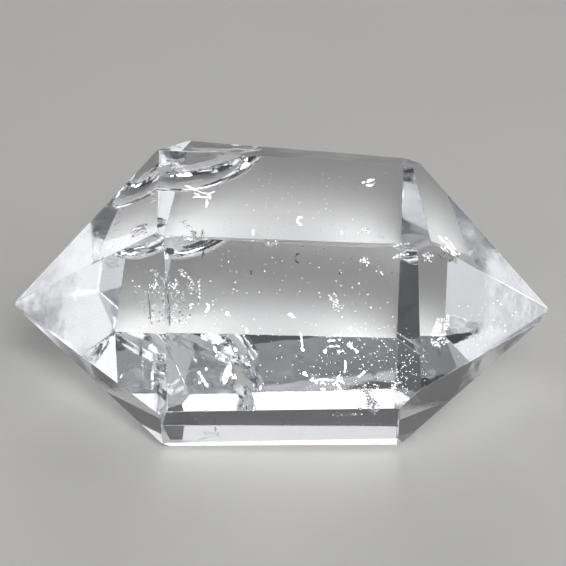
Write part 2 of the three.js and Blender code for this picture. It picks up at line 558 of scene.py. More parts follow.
def without_fins(mesh):
    """Merges points that lie too close to keep apart, and drops the faces that then lie back to back."""
    solid = bmesh.new()
    solid.from_mesh(mesh)
    bmesh.ops.triangulate(solid, faces=solid.faces)
    bmesh.ops.remove_doubles(solid, verts=solid.verts, dist=TOO_CLOSE)
    bmesh.ops.dissolve_degenerate(solid, edges=solid.edges, dist=TOO_CLOSE)
    bmesh.ops.triangulate(solid, faces=solid.faces)
    same = {}
    for face in solid.faces:
        same.setdefault(frozenset(face.verts), []).append(face)
    fins = [face for faces in same.values() for face in faces[:len(faces) // 2 * 2]]
    bmesh.ops.delete(solid, geom=fins, context="FACES")
    gaps = [edge for edge in solid.edges if edge.is_boundary]
    if gaps:
        filled = bmesh.ops.holes_fill(solid, edges=gaps, sides=0)
        bmesh.ops.triangulate(solid, faces=filled["faces"])
    solid.to_mesh(mesh)
    solid.free()


def stone_mesh(settings):
    """The whole stone: facets, softened edges, chips, nicks and cracks, in metres."""
    sharp = faceted_solid(FACETS)
    sharp.normal_update()
    soft = faceted_solid(FACETS + rounding_planes(sharp, settings.edge_radius / MM))
    cutter = bmesh.new()
    for index, (centre, radius) in enumerate(chip_balls(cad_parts["crystal"])):
        if radius < LARGEST_CHIP:
            ripple_ball(cutter, centre, radius, CHIP_FINENESS, index)
        else:
            middle = centre + Vector(SHELL_CRACK["facing"]).normalized() * radius
            open_crack(
                cutter, middle, bend=radius, gap=settings.crack_gap / MM, rings=36, spokes=96, **SHELL_CRACK,
            )
    for index, (centre, radius) in enumerate(
        edge_nicks(sharp, settings.nick_spacing / MM, settings.nick_size / MM, settings.seed)
    ):
        ripple_ball(cutter, centre, radius, NICK_FINENESS, index)
    add_splinters(cutter, settings.crack_gap / MM / 2)
    add_trails(cutter, settings.crack_gap / MM / 2, settings.seed)
    add_bubbles(cutter, settings.seed)
    bmesh.ops.recalc_face_normals(cutter, faces=cutter.faces)
    sharp.free()
    stone = new_object("stone_shape", mesh_of("stone_shape", soft))
    chips = new_object("stone_chips", mesh_of("stone_chips", cutter))
    cut = stone.modifiers.new("chips", "BOOLEAN")
    cut.operation, cut.solver, cut.object, cut.use_self = "DIFFERENCE", "EXACT", chips, True
    shown = stone.evaluated_get(bpy.context.evaluated_depsgraph_get())
    mesh = bpy.data.meshes.new_from_object(shown)
    bpy.data.objects.remove(stone)
    bpy.data.objects.remove(chips)
    without_fins(mesh)
    for vertex in mesh.vertices:
        vertex.co *= MM
    mesh.name = "polished_stone"
    return mesh


def end_mask(tree, vector):
    """Nothing along the body, rising to one towards both points."""
    parts = tree.nodes.new("ShaderNodeSeparateXYZ")
    tree.links.new(vector, parts.inputs["Vector"])
    from_middle = calculate(tree, "ABSOLUTE", parts.outputs["X"])
    return spread(tree, from_middle, *CLEAR_PART, 0.0, 1.0)


def clear_quartz(settings):
    """Clear, faintly smoky quartz with hand polished faces."""
    material, tree, surface, output = new_material("clear_quartz")
    surface.inputs["Base Color"].default_value = (0.99, 0.993, 1.0, 1)
    surface.inputs["IOR"].default_value = QUARTZ_IOR
    surface.inputs["Transmission Weight"].default_value = 1.0
    vector = object_coordinates(tree)
    ends = end_mask(tree, vector)
    haze = noise_at(tree, vector, 4 * MM, detail=4, roughness=0.6)
    smears = spread(tree, haze, 0.45, 0.75, 0.0, 0.035)
    mottling = noise_at(tree, vector, 1.4 * MM, detail=6, roughness=0.75)
    frost = calculate(tree, "MULTIPLY", ends, spread(tree, mottling, 0.36, 0.64, 0.2, 1.0))
    frosting = spread(tree, frost, 0.0, 1.0, 0.0, settings.end_frost)
    tree.links.new(calculate(tree, "MAXIMUM", smears, frosting), surface.inputs["Roughness"])
    waves = noise_at(tree, vector, 5 * MM, detail=1)
    pebbles = noise_at(tree, vector, 0.9 * MM, detail=4, roughness=0.6)
    grain = noise_at(tree, vector, 0.35 * MM, detail=3, roughness=0.65)
    normal = bump(tree, waves, 0.012 * MM)
    normal = bump(tree, calculate(tree, "MULTIPLY", ends, pebbles), 0.012 * MM, below=normal)
    normal = bump(tree, grain, 0.0006 * MM, below=normal)
    tree.links.new(normal, surface.inputs["Normal"])
    absorption = tree.nodes.new("ShaderNodeVolumeAbsorption")
    absorption.inputs["Color"].default_value = (*settings.tint, 1)
    absorption.inputs["Density"].default_value = settings.tint_density
    tree.links.new(absorption.outputs["Volume"], output.inputs["Volume"])
    return material


class StoneSettings(bpy.types.PropertyGroup):
    edge_radius: FloatProperty(
        name="Edge radius", description="How far polishing has rounded the edges",
        default=0.09 * MM, min=0.01 * MM, max=0.3 * MM, subtype="DISTANCE", unit="LENGTH",
    )
    nick_spacing: FloatProperty(
        name="Nick spacing", description="Mean distance between the tiny nicks along an edge",
        default=7 * MM, min=0.5 * MM, subtype="DISTANCE", unit="LENGTH",
    )
    nick_size: FloatProperty(
        name="Nick size", description="Radius of the largest nick",
        default=0.12 * MM, min=0.02 * MM, max=0.5 * MM, subtype="DISTANCE", unit="LENGTH",
    )
    crack_gap: FloatProperty(
        name="Crack gap", description="How far the widest crack stands open",
        default=0.05 * MM, min=0.005 * MM, max=0.3 * MM, subtype="DISTANCE", unit="LENGTH",
    )
    seed: IntProperty(
        name="Seed", description="Changes the nicks, the trails of cracks and the bubbles", default=4, min=0,
    )
    end_frost: FloatProperty(
        name="End frost", description="Roughness of the faces round the points, the least polished ones",
        default=0.2, min=0, max=1, subtype="FACTOR",
    )
    tint: FloatVectorProperty(
        name="Tint", description="Colour that white light keeps through the stone",
        default=(0.93, 0.96, 1.0), min=0, max=1, size=3, subtype="COLOR",
    )
    tint_density: FloatProperty(
        name="Tint density", description="How strongly the stone takes light away, per metre",
        default=8, min=0,
    )


class QUARTZ_OT_grind_stone(bpy.types.Operator):
    """Grinds and polishes the clear stone from the frame's facets"""
    bl_idname = "quartz.grind_stone"
    bl_label = "Grind the stone"

    def execute(self, context):
        settings = context.scene.quartz_stone
        mesh = stone_mesh(settings)
        if len(mesh.polygons) < FEWEST_FACES:
            raise RuntimeError("the stone came out without its facets or chips")
        stone = new_object("polished_stone", mesh)
        mesh.materials.clear()
        mesh.materials.append(clear_quartz(settings))
        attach(stone, "root")
        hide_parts("crystal")
        return {"FINISHED"}


# How a sheet waves: the pace of its waves, and their height beside the highest.
SHEET_WAVES = ((0.9, 1), (4, 0.15))


def crumple(point, facing, amount):
    """Moves a point of a sheet off its plane, as a break in glass waves."""
    wave = sum(height * noise.noise(point * pace) for pace, height in SHEET_WAVES)
    return point + facing * (amount * wave)


def sheet_object(name, sheets, thickness):
    """Gives the sheets a thickness, closes them and makes them an object, in metres."""
    sheets.normal_update()
    fronts = sheets.faces[:]
    rim = [edge.link_loops[0] for edge in sheets.edges if edge.is_boundary]
    rim = [(loop.vert, loop.link_loop_next.vert) for loop in rim]
    behind = {vertex: sheets.verts.new(vertex.co - vertex.normal * thickness) for vertex in sheets.verts[:]}
    for face in fronts:
        sheets.faces.new([behind[vertex] for vertex in reversed(face.verts)])
    for start, end in rim:
        sheets.faces.new((end, start, behind[start], behind[end]))
    bmesh.ops.recalc_face_normals(sheets, faces=sheets.faces)
    for vertex in sheets.verts:
        vertex.co *= MM
    return new_object(name, mesh_of(name, sheets))


# ---------------------------------------------------------------------------------------- the breaks

STREAK_STEPS = 6                            # from one pixel of a streak to the next
STREAK_SIDES = (-1, -0.35, 0.35, 1)         # where the points across a streak lie, from edge to edge
STREAK_HALF = 0.6                           # from the middle to an edge, as part of the width
MOST_WIDENED = 3                            # for a streak that is seen edge on
BLUNT_START, BLUNT_END = 0.4, 0.2           # keep both ends of a streak from running out to nothing
LEAST_TAPER = 0.05
STREAK_UNEVEN, STREAK_PACE = 0.9, 7         # how much the width changes along a streak, and how fast

# Breaks lie in seams. "middle" is the pixel of the main view that a seam is set by and "depth" is how
# deep it lies there, in millimetres. A streak is a line of pixels and a width in millimetres.
BRIGHT_BREAKS = {
    "top_left_shell": {
        "middle": (205, 172), "depth": 10,
        "streaks": {
            "wedge": {"seen_at": ((181, 182.5), (187, 186), (192, 188.5), (198, 190.5)), "width": 0.17},
            "wedge_tail": {"seen_at": ((198, 191), (204, 193), (209, 193.5), (215, 191.5)), "width": 0.07},
            "upper_bar": {"seen_at": ((194.5, 193.5), (197, 194.5), (199.5, 194.5)), "width": 0.15},
            "bar": {"seen_at": ((193, 197.5), (198, 196.5), (203, 197.2), (208, 196.5)), "width": 0.12},
            "bar_knot": {"seen_at": ((208, 194.5), (209.8, 196.5), (209.5, 199)), "width": 0.2},
            "bar_tick": {"seen_at": ((206.5, 199.5), (207, 203), (206, 208)), "width": 0.11},
        },
    },
    "right_feather": {
        "middle": (447, 246), "depth": 1.3,
        "streaks": {
            "stem": {
                "seen_at": ((438.5, 236), (443, 240.5), (447, 244.5), (451, 249), (454.5, 254.5)),
                "width": 0.26,
            },
            "second_stem": {"seen_at": ((445, 248.5), (449, 252), (453, 255.5), (456.5, 260)), "width": 0.14},
            "third_stem": {
                "seen_at": ((440.5, 246.5), (444, 250), (448, 253.5), (451.5, 257)), "width": 0.09,
            },
            "fourth_stem": {"seen_at": ((448.5, 249), (452.5, 252.5), (455.5, 256.5)), "width": 0.07},
            "upper_barb": {"seen_at": ((449.5, 241.5), (451, 243.5), (453, 246.5)), "width": 0.15},
            "middle_barb": {"seen_at": ((453.5, 247), (455.5, 249.5)), "width": 0.13},
            "far_barb": {"seen_at": ((458, 252), (460, 254.5)), "width": 0.15},
            "near_barb": {"seen_at": ((445, 237), (447.5, 239.5)), "width": 0.11},
        },
    },
    "letter_fleck": {
        "middle": (229, 373), "depth": 5,
        "streaks": {
            "long_leg": {"seen_at": ((230, 362), (228.5, 369), (226, 376), (224.5, 384)), "width": 0.38},
            "short_leg": {"seen_at": ((228, 373), (232, 375.5), (236.5, 378.5)), "width": 0.3},
        },
    },
    "low_left_scratch": {
        "middle": (204, 380), "depth": 4,
        "streaks": {
            "scratch": {"seen_at": ((201, 375), (203, 380), (206, 384), (208, 387)), "width": 0.2},
            "dash": {"seen_at": ((198, 372), (200.5, 374)), "width": 0.18},
            "upper_dot": {"seen_at": ((205.5, 368.5), (207, 369.5)), "width": 0.2},
            "lower_dot": {"seen_at": ((199, 382), (200, 383.5)), "width": 0.15},
        },
    },
    "fleck_trail": {
        "middle": (208, 342), "depth": 7,
        "streaks": {
            "trail_start": {"seen_at": ((201, 335), (204, 338), (207, 340)), "width": 0.2},
            "trail_teal": {"seen_at": ((210, 337.5), (213, 337.5), (216, 338)), "width": 0.16},
            "trail_blue": {"seen_at": ((209, 334), (212, 334), (215, 335)), "width": 0.12},
            "trail_middle": {"seen_at": ((212.5, 341), (215, 343)), "width": 0.24},
            "trail_drop": {"seen_at": ((214, 346), (215, 349), (216.5, 353)), "width": 0.17},
            "trail_side": {"seen_at": ((217, 340), (218.5, 344)), "width": 0.2},
            "trail_dot": {"seen_at": ((225, 347.5), (226.5, 349)), "width": 0.22},
            "trail_far_dot": {"seen_at": ((234, 348), (236.5, 351)), "width": 0.24},
            "trail_low_dot": {"seen_at": ((216, 355), (217, 356)), "width": 0.18},
            "hook": {"seen_at": ((245, 328), (247, 331), (246, 333)), "width": 0.16},
            "comma": {"seen_at": ((206, 303), (208.5, 306), (207.5, 310), (205, 312)), "width": 0.16},
            "bead": {"seen_at": ((226.5, 312), (228, 315)), "width": 0.26},
        },
    },
    "middle_ticks": {
        "middle": (301, 340), "depth": 8,
        "streaks": {
            "tick": {"seen_at": ((300.5, 333), (301.5, 339), (302.5, 347)), "width": 0.14},
            "tick_foot": {"seen_at": ((301, 348), (304, 351)), "width": 0.22},
            "hooked_mark": {"seen_at": ((288, 314.5), (291.5, 315), (294, 319)), "width": 0.2},
        },
    },
    "top_marks": {
        "middle": (300, 221), "depth": 9,
        "streaks": {
            "c_mark_upper": {"seen_at": ((302, 217), (298.5, 218), (297.5, 221)), "width": 0.16},
            "c_mark_lower": {"seen_at": ((297.5, 221), (299, 224), (302, 225)), "width": 0.16},
            "short_tick": {"seen_at": ((253.5, 230), (253.4, 235)), "width": 0.16},
            "low_tick": {"seen_at": ((341.5, 231), (341.5, 234)), "width": 0.12},
            "blue_fleck": {"seen_at": ((362, 183), (368, 181), (375, 179)), "width": 0.22},
            "blue_fleck_foot": {"seen_at": ((366, 185), (370, 185.5), (374, 184)), "width": 0.2},
        },
    },
    "front_blocks": {
        "middle": (340, 350), "depth": 6,
        "streaks": {
            "bracket_top": {"seen_at": ((328, 341.5), (331, 340), (335, 341)), "width": 0.17},
            "bracket_foot": {"seen_at": ((328, 347), (331.5, 346), (334.5, 347)), "width": 0.16},
            "second_bracket": {"seen_at": ((338, 339.5), (340.5, 340)), "width": 0.15},
            "second_foot": {"seen_at": ((336, 346), (339.5, 346.5)), "width": 0.13},
            "corner": {"seen_at": ((326.5, 349), (325, 351), (326, 353)), "width": 0.2},
            "second_corner": {"seen_at": ((338, 353), (340, 351), (344, 350.5)), "width": 0.14},
            "spark_one": {"seen_at": ((335, 334), (336, 336)), "width": 0.22},
            "spark_two": {"seen_at": ((339.5, 332.5), (340.5, 335)), "width": 0.2},
            "hair": {"seen_at": ((347.5, 328), (350, 330), (352, 332)), "width": 0.08},
            "tail": {"seen_at": ((354, 349), (357, 351), (356.5, 353)), "width": 0.14},
            "drip": {"seen_at": ((345, 360), (345.5, 366), (344.5, 373)), "width": 0.14},
            "feather_spar": {"seen_at": ((358, 377), (362, 374), (366, 370)), "width": 0.17},
        },
    },
    "front_sheet": {
        "middle": (340, 382), "depth": 3,
        "streaks": {
            "sheet_edge": {"seen_at": ((314, 381), (322, 379.5), (334, 380.5)), "width": 0.12},
            "sheet_leg": {"seen_at": ((316.5, 380), (316, 384)), "width": 0.14},
            "knot": {"seen_at": ((310, 379), (313.5, 379.5)), "width": 0.3},
            "sliver": {"seen_at": ((303, 372), (305, 374), (307.5, 376)), "width": 0.2},
            "green_ring_top": {"seen_at": ((320, 384), (323, 382.5), (326, 385)), "width": 0.12},
            "green_ring_foot": {"seen_at": ((320, 389), (323, 390), (326, 388)), "width": 0.12},
        },
    },
}


class BreakSettings(bpy.types.PropertyGroup):
    thickness: FloatProperty(
        name="Thickness", description="How far the two sides of a break stand apart",
        default=0.012 * MM, min=0.002 * MM, max=0.1 * MM, subtype="DISTANCE", unit="LENGTH",
    )
    waviness: FloatProperty(
        name="Waviness", description="How far a break waves off its plane",
        default=0.04 * MM, min=0, max=0.5 * MM, subtype="DISTANCE", unit="LENGTH",
    )


def add_streak(sheets, seam, pixels, width, amount):
    """Adds a tapering ribbon along the pixels to the sheets, this wide as the main view shows it."""
    line = [seam.at(pixel) for pixel in smooth_line(pixels, STREAK_STEPS)]
    way = look_into(pixels[0])[1]
    rows = []
    for index, point in enumerate(line):
        along = (line[min(index + 1, len(line) - 1)] - line[max(index - 1, 0)]).normalized()
        across = seam.facing.cross(along).normalized()
        shown = across - way * across.dot(way)
        across *= 1 / max(shown.length, 1 / MOST_WIDENED)
        taper = math.sin(math.pi * (index + BLUNT_START) / (len(line) - BLUNT_END))
        uneven = 1 + STREAK_UNEVEN * noise.noise(point * STREAK_PACE)
        half = width * STREAK_HALF * math.sqrt(max(taper, LEAST_TAPER)) * uneven
        rows.append([
            sheets.verts.new(crumple(point + across * half * side, seam.facing, amount))
            for side in STREAK_SIDES
        ])
    for one, two in zip(rows, rows[1:]):
        for a, b, c, d in zip(one, one[1:], two[1:], two):
            sheets.faces.new((a, b, c, d))


def break_sheets(waviness):
    sheets = bmesh.new()
    for place in BRIGHT_BREAKS.values():
        seam = Seam(place["middle"], place["depth"], BRIGHTEST)
        for streak in place["streaks"].values():
            add_streak(sheets, seam, streak["seen_at"], streak["width"], waviness)
    return sheets


def silvery_break():
    """The skin of a gas-filled break: a mirror with thin coloured bands, worn through in places."""
    material, tree, surface, _ = new_material("silvery_break")
    vector = object_coordinates(tree)
    bands = noise_at(tree, vector, 2.5 * MM, detail=1)
    colours = tree.nodes.new("ShaderNodeValToRGB")
    cool, warm = colours.color_ramp.elements
    cool.position, cool.color = 0.38, (0.88, 0.93, 1.0, 1)
    warm.position, warm.color = 0.62, (1.0, 0.96, 0.9, 1)
    tree.links.new(bands, colours.inputs["Fac"])
    tree.links.new(colours.outputs["Color"], surface.inputs["Base Color"])
    surface.inputs["Metallic"].default_value = 1.0
    grain = noise_at(tree, vector, 0.25 * MM, detail=2)
    tree.links.new(spread(tree, grain, 0.3, 0.7, 0.1, 0.2), surface.inputs["Roughness"])
    worn = noise_at(tree, vector, 0.3 * MM, detail=4, roughness=0.65)
    tree.links.new(spread(tree, worn, 0.4, 0.5, 0.0, 1.0), surface.inputs["Alpha"])
    return material


class QUARTZ_OT_open_breaks(bpy.types.Operator):
    """Opens the silvery breaks inside the stone"""
    bl_idname = "quartz.open_breaks"
    bl_label = "Open the breaks"

    def execute(self, context):
        settings = context.scene.quartz_breaks
        sheets = break_sheets(settings.waviness / MM)
        thing = sheet_object("bright_breaks", sheets, settings.thickness / MM)
        thing.data.materials.append(silvery_break())
        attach(thing, "root")
        return {"FINISHED"}


# ---------------------------------------------------------------------------------------- the flecks

FLECK_SIDES = 6
FLECK_FLATNESS = 0.12                       # a fleck's thickness, as part of its width
SMALLEST_FLECK = (0.25, 0.25, 1)            # beside the width and thickness that a patch gives
LARGEST_FLECK = (1.5, 0.9, 1)
PATCH_WAVINESS = 0.4                        # how far a patch waves off its seam, in millimetres
LONGEST_EDGE, SPLIT_EDGE = 2.0, 1.4         # of a patch's triangles, in millimetres

# Flecks lie thickly in small patches, and thinly in veils that cross the whole stone. A patch lies in a
# seam and has an outline of pixels. "spacing" is the mean distance between its flecks and "size" is a
# fleck's width, both in millimetres.
FLECK_PATCHES = {
    "left_edge_white": {
        "middle": (188, 238), "depth": 0.3, "spacing": 0.13, "size": 0.16,
        "outline": ((181, 235.5), (187, 236), (194, 236.5), (193, 240), (188, 241.5), (183, 239.5)),
    },
    "middle_edge_white": {
        "middle": (270, 241), "depth": 0.3, "spacing": 0.13, "size": 0.15,
        "outline": ((264, 240.5), (270, 240.5), (276, 241), (274, 243), (269, 243.5), (265, 242.5)),
    },
    "tooth_root_white": {
        "middle": (188, 276), "depth": 12, "spacing": 0.22, "size": 0.17,
        "outline": ((178, 269), (184, 270), (190, 276), (195, 284), (191, 286), (186, 278), (180, 273)),
    },
    "tooth_side_white": {
        "middle": (199, 292), "depth": 12, "spacing": 0.2, "size": 0.14,
        "outline": ((198, 279), (200, 280), (200.5, 294), (199.5, 306), (198, 304), (198.5, 292)),
    },
    "tooth_grey": {
        "middle": (193, 292), "depth": 12, "spacing": 0.3, "size": 0.12,
        "outline": ((189, 287), (194, 288), (198, 296), (195, 299), (190, 294)),
    },
    "tooth_foot_white": {
        "middle": (191, 306), "depth": 12, "spacing": 0.2, "size": 0.16,
        "outline": ((187, 307), (190, 304.5), (195, 303.5), (194, 307), (189, 309)),
    },
    "blade_white": {
        "middle": (161, 284), "depth": 9, "spacing": 0.24, "size": 0.12,
        "outline": ((153, 283), (158, 279), (166, 281), (169, 289), (164, 295), (156, 289)),
    },
    "blade_grey": {
        "middle": (169, 306), "depth": 9, "spacing": 0.3, "size": 0.09,
        "outline": ((164, 291), (169, 290), (173, 303), (173, 318), (171, 327), (168, 316)),
    },
    "left_chips": {
        "middle": (137, 287), "depth": 7, "spacing": 0.26, "size": 0.13,
        "outline": ((129, 279), (133, 280), (141, 288), (147, 291), (146, 295), (138, 292), (132, 285)),
    },
    "left_haze": {
        "middle": (141, 298), "depth": 7, "spacing": 0.34, "size": 0.08,
        "outline": ((134, 290), (146, 294), (147, 304), (144, 309), (138, 300)),
    },
    "bubble_ring_white": {
        "middle": (180, 314), "depth": 9, "spacing": 0.24, "size": 0.11,
        "outline": (
            (170, 307), (173, 309), (174, 316), (180, 319), (187, 318), (190, 311), (193, 314),
            (189, 322), (178, 324), (170, 319),
        ),
    },
    "left_dust": {
        "middle": (145, 300), "depth": 8, "spacing": 0.75, "size": 0.09,
        "outline": ((128, 262), (150, 268), (164, 300), (160, 328), (132, 328)),
    },
    "white_block": {
        "middle": (350, 346), "depth": 6, "spacing": 0.12, "size": 0.16,
        "outline": ((346, 344), (350, 342), (353, 344), (352.5, 347.5), (354, 349), (349, 349)),
    },
    "frost_block": {
        "middle": (339, 384), "depth": 3, "spacing": 0.13, "size": 0.15,
        "outline": (
            (335, 378), (338, 375.5), (342, 377), (345, 383), (340, 384), (341, 388), (338, 396),
            (335, 396), (336, 388), (333, 384),
        ),
    },
    "right_block": {
        "middle": (396, 386), "depth": 2, "spacing": 0.15, "size": 0.13,
        "outline": (
            (393, 380), (397, 378), (400, 383), (396, 385), (397, 391), (390, 396), (386, 397),
            (391, 389),
        ),
    },
    "plume_frost": {
        "middle": (370, 396), "depth": 1.5, "spacing": 0.22, "size": 0.11,
        "outline": ((360, 390), (366, 382), (378, 385), (380, 396), (378, 410), (368, 410), (367, 398)),
    },
    "low_right_frost": {
        "middle": (400, 380), "depth": 4, "spacing": 0.32, "size": 0.09,
        "outline": ((384, 396), (392, 378), (402, 358), (416, 350), (417, 388), (406, 396)),
    },
    "front_frost": {
        "middle": (350, 372), "depth": 7, "spacing": 0.6, "size": 0.1,
        "outline": (
            (305, 388), (318, 356), (330, 328), (352, 322), (388, 322), (412, 330), (414, 362),
            (396, 392), (350, 396),
        ),
    },
    "front_dust": {
        "middle": (340, 388), "depth": 4, "spacing": 0.3, "size": 0.06,
        "outline": ((300, 392), (316, 376), (340, 374), (360, 386), (358, 398), (320, 397)),
    },
    "middle_cloud": {
        "middle": (336, 304), "depth": 8, "spacing": 0.22, "size": 0.13,
        "outline": ((329, 296), (334, 293), (340, 303), (343, 307), (338, 312), (331, 308)),
    },
    "upper_cluster": {
        "middle": (364, 262), "depth": 9, "spacing": 0.18, "size": 0.17,
        "outline": ((358, 262), (362, 259), (366, 257), (370, 262), (368, 266), (364, 264)),
    },
    "second_cluster": {
        "middle": (380, 270), "depth": 9, "spacing": 0.22, "size": 0.14,
        "outline": ((375, 269), (378, 266), (384, 269), (386, 272), (382, 275), (377, 274)),
    },
    "corner_frost": {
        "middle": (397, 251), "depth": 3, "spacing": 0.22, "size": 0.14,
        "outline": ((389, 247), (393, 247), (400, 252), (410, 254), (404, 256), (395, 254)),
    },
    "top_field": {
        "middle": (290, 190), "depth": 8, "spacing": 0.85, "size": 0.11,
        "outline": ((245, 165), (300, 158), (335, 175), (330, 215), (280, 225), (246, 210)),
    },
    "top_right_field": {
        "middle": (360, 200), "depth": 8, "spacing": 1.3, "size": 0.11,
        "outline": ((335, 165), (395, 168), (398, 235), (340, 236)),
    },
    "front_field": {
        "middle": (290, 310), "depth": 9, "spacing": 1.05, "size": 0.105,
        "outline": ((205, 250), (390, 255), (400, 380), (250, 385), (205, 330)),
    },
    "star_bruise": {
        "middle": (428, 257), "depth": 0.25, "spacing": 0.1, "size": 0.14,
        "outline": (
            (422, 255), (425, 254), (428, 251.5), (430, 254), (434, 255.5), (431, 258), (432, 262),
            (427, 260), (424, 261), (425, 257.5),
        ),
    },
    "right_frost": {
        "middle": (440, 332), "depth": 3, "spacing": 0.15, "size": 0.12,
        "outline": (
            (429.5, 335), (434, 327), (437, 319), (443, 317), (447, 314), (450, 316), (449, 325),
            (447, 333), (443, 338), (448, 338), (449, 342), (443, 345), (438, 348), (432, 346),
            (430, 341),
        ),
    },
    "low_edge_white": {
        "middle": (348, 414), "depth": 0.4, "spacing": 0.2, "size": 0.15,
        "outline": ((332, 415), (338, 413.5), (350, 414), (362, 412), (363, 414), (350, 416.5), (340, 417)),
    },
    "right_dust": {
        "middle": (480, 330), "depth": 3, "spacing": 0.85, "size": 0.075,
        "outline": ((455, 305), (500, 295), (520, 315), (495, 345), (455, 360)),
    },
}


class FleckSettings(bpy.types.PropertyGroup):
    amount: FloatProperty(
        name="Amount", description="Scales how many flecks there are", default=1.0, min=0, max=4,
    )
    size: FloatProperty(
        name="Size", description="Scales how large the flecks are", default=1.0, min=0.1, max=4,
    )
    tilt: FloatProperty(
        name="Tilt", description="How far flecks turn off the plane that they lie in",
        default=math.radians(4), min=0, max=math.pi / 2, subtype="ANGLE", unit="ROTATION",
    )
    seed: IntProperty(name="Seed", description="Changes where the flecks fall", default=11, min=0)


def fleck_tree():
    """Geometry nodes that strew flat, uneven flecks over a sheet."""
    tree = bpy.data.node_groups.new("strew_flecks", "GeometryNodeTree")
    face = tree.interface
    face.new_socket("Sheet", in_out="INPUT", socket_type="NodeSocketGeometry")
    for name, kind in (
        ("Density", "NodeSocketFloat"), ("Fleck Width", "NodeSocketFloat"), ("Flatness", "NodeSocketFloat"),
        ("Facing", "NodeSocketVector"), ("Tilt", "NodeSocketFloat"), ("Seed", "NodeSocketInt"),
        ("Material", "NodeSocketMaterial"),
    ):
        face.new_socket(name, in_out="INPUT", socket_type=kind)
    face.new_socket("Flecks", in_out="OUTPUT", socket_type="NodeSocketGeometry")
    node, link = tree.nodes.new, tree.links.new
    given, result = node("NodeGroupInput").outputs, node("NodeGroupOutput")

    points = node("GeometryNodeDistributePointsOnFaces")
    link(given["Sheet"], points.inputs["Mesh"])
    link(given["Density"], points.inputs["Density"])
    link(given["Seed"], points.inputs["Seed"])

    fleck = node("GeometryNodeMeshCylinder")
    fleck.inputs["Vertices"].default_value = FLECK_SIDES
    fleck.inputs["Radius"].default_value = 0.5
    fleck.inputs["Depth"].default_value = 1.0

    low, high = node("ShaderNodeCombineXYZ"), node("ShaderNodeCombineXYZ")
    other_way = calculate(tree, "MULTIPLY", given["Tilt"], -1)
    for axis in ("X", "Y"):
        link(other_way, low.inputs[axis])
        link(given["Tilt"], high.inputs[axis])
    high.inputs["Z"].default_value = 2 * math.pi
    turn = node("FunctionNodeRandomValue")
    turn.data_type = "FLOAT_VECTOR"
    link(low.outputs[0], turn.inputs["Min"])
    link(high.outputs[0], turn.inputs["Max"])
    link(given["Seed"], turn.inputs["Seed"])
    aim = node("FunctionNodeAlignRotationToVector")
    aim.axis = "Z"
    link(given["Facing"], aim.inputs["Vector"])
    tilt = node("FunctionNodeRotateRotation")
    tilt.rotation_space = "LOCAL"
    link(aim.outputs["Rotation"], tilt.inputs["Rotation"])
    link(turn.outputs["Value"], tilt.inputs["Rotate By"])

    shape = node("FunctionNodeRandomValue")
    shape.data_type = "FLOAT_VECTOR"
    shape.inputs["Min"].default_value = SMALLEST_FLECK
    shape.inputs["Max"].default_value = LARGEST_FLECK
    link(given["Seed"], shape.inputs["Seed"])
    flat = node("ShaderNodeCombineXYZ")
    for axis in ("X", "Y"):
        link(given["Fleck Width"], flat.inputs[axis])
    link(calculate(tree, "MULTIPLY", given["Fleck Width"], given["Flatness"]), flat.inputs["Z"])
    size = node("ShaderNodeVectorMath")
    size.operation = "MULTIPLY"
    link(shape.outputs["Value"], size.inputs[0])
    link(flat.outputs[0], size.inputs[1])

    strewn = node("GeometryNodeInstanceOnPoints")
    link(points.outputs["Points"], strewn.inputs["Points"])
    link(fleck.outputs["Mesh"], strewn.inputs["Instance"])
    link(tilt.outputs["Rotation"], strewn.inputs["Rotation"])
    link(size.outputs["Vector"], strewn.inputs["Scale"])
    real = node("GeometryNodeRealizeInstances")
    link(strewn.outputs["Instances"], real.inputs["Geometry"])
    painted = node("GeometryNodeSetMaterial")
    link(real.outputs["Geometry"], painted.inputs["Geometry"])
    link(given["Material"], painted.inputs["Material"])
    link(painted.outputs["Geometry"], result.inputs["Flecks"])
    return tree


def fleck_sheet(name, seam, outline):
    """An uneven sheet with this outline, in metres, for flecks to lie on."""
    sheet = bmesh.new()
    rim = sheet.faces.new([sheet.verts.new(seam.at(pixel)) for pixel in outline])
    bmesh.ops.triangulate(sheet, faces=[rim])
    while max(edge.calc_length() for edge in sheet.edges) > LONGEST_EDGE:
        long_edges = [edge for edge in sheet.edges if edge.calc_length() > SPLIT_EDGE]
        bmesh.ops.subdivide_edges(sheet, edges=long_edges, cuts=1)
        bmesh.ops.triangulate(sheet, faces=sheet.faces)
    for vertex in sheet.verts:
        vertex.co = crumple(vertex.co, seam.facing, PATCH_WAVINESS) * MM
    return new_object(name, mesh_of(name, sheet))


def strew(sheet, tree, values):
    """Runs the tree on a sheet with these values and returns what it makes as a plain mesh."""
    modifier = sheet.modifiers.new("flecks", "NODES")
    modifier.node_group = tree
    sockets = {item.name: item.identifier for item in tree.interface.items_tree if item.in_out == "INPUT"}
    for name, value in values.items():
        modifier[sockets[name]] = value
    shown = sheet.evaluated_get(bpy.context.evaluated_depsgraph_get())
    mesh = bpy.data.meshes.new_from_object(shown)
    sheet.modifiers.remove(modifier)
    return mesh


def white_fleck():
    """Bright, slightly frosted fleck."""
    material, tree, surface, _ = new_material("white_fleck")
    vector = object_coordinates(tree)
    shade = spread(tree, noise_at(tree, vector, 0.8 * MM, detail=1), 0.4, 0.6, 0, 1)
    colour = blend(tree, shade, (0.93, 0.96, 1.0), (1.0, 0.97, 0.93))
    tree.links.new(colour, surface.inputs["Base Color"])
    surface.inputs["Metallic"].default_value = 0.9
    grain = noise_at(tree, vector, 0.1 * MM, detail=2)
    tree.links.new(spread(tree, grain, 0.3, 0.7, 0.12, 0.25), surface.inputs["Roughness"])
    return material


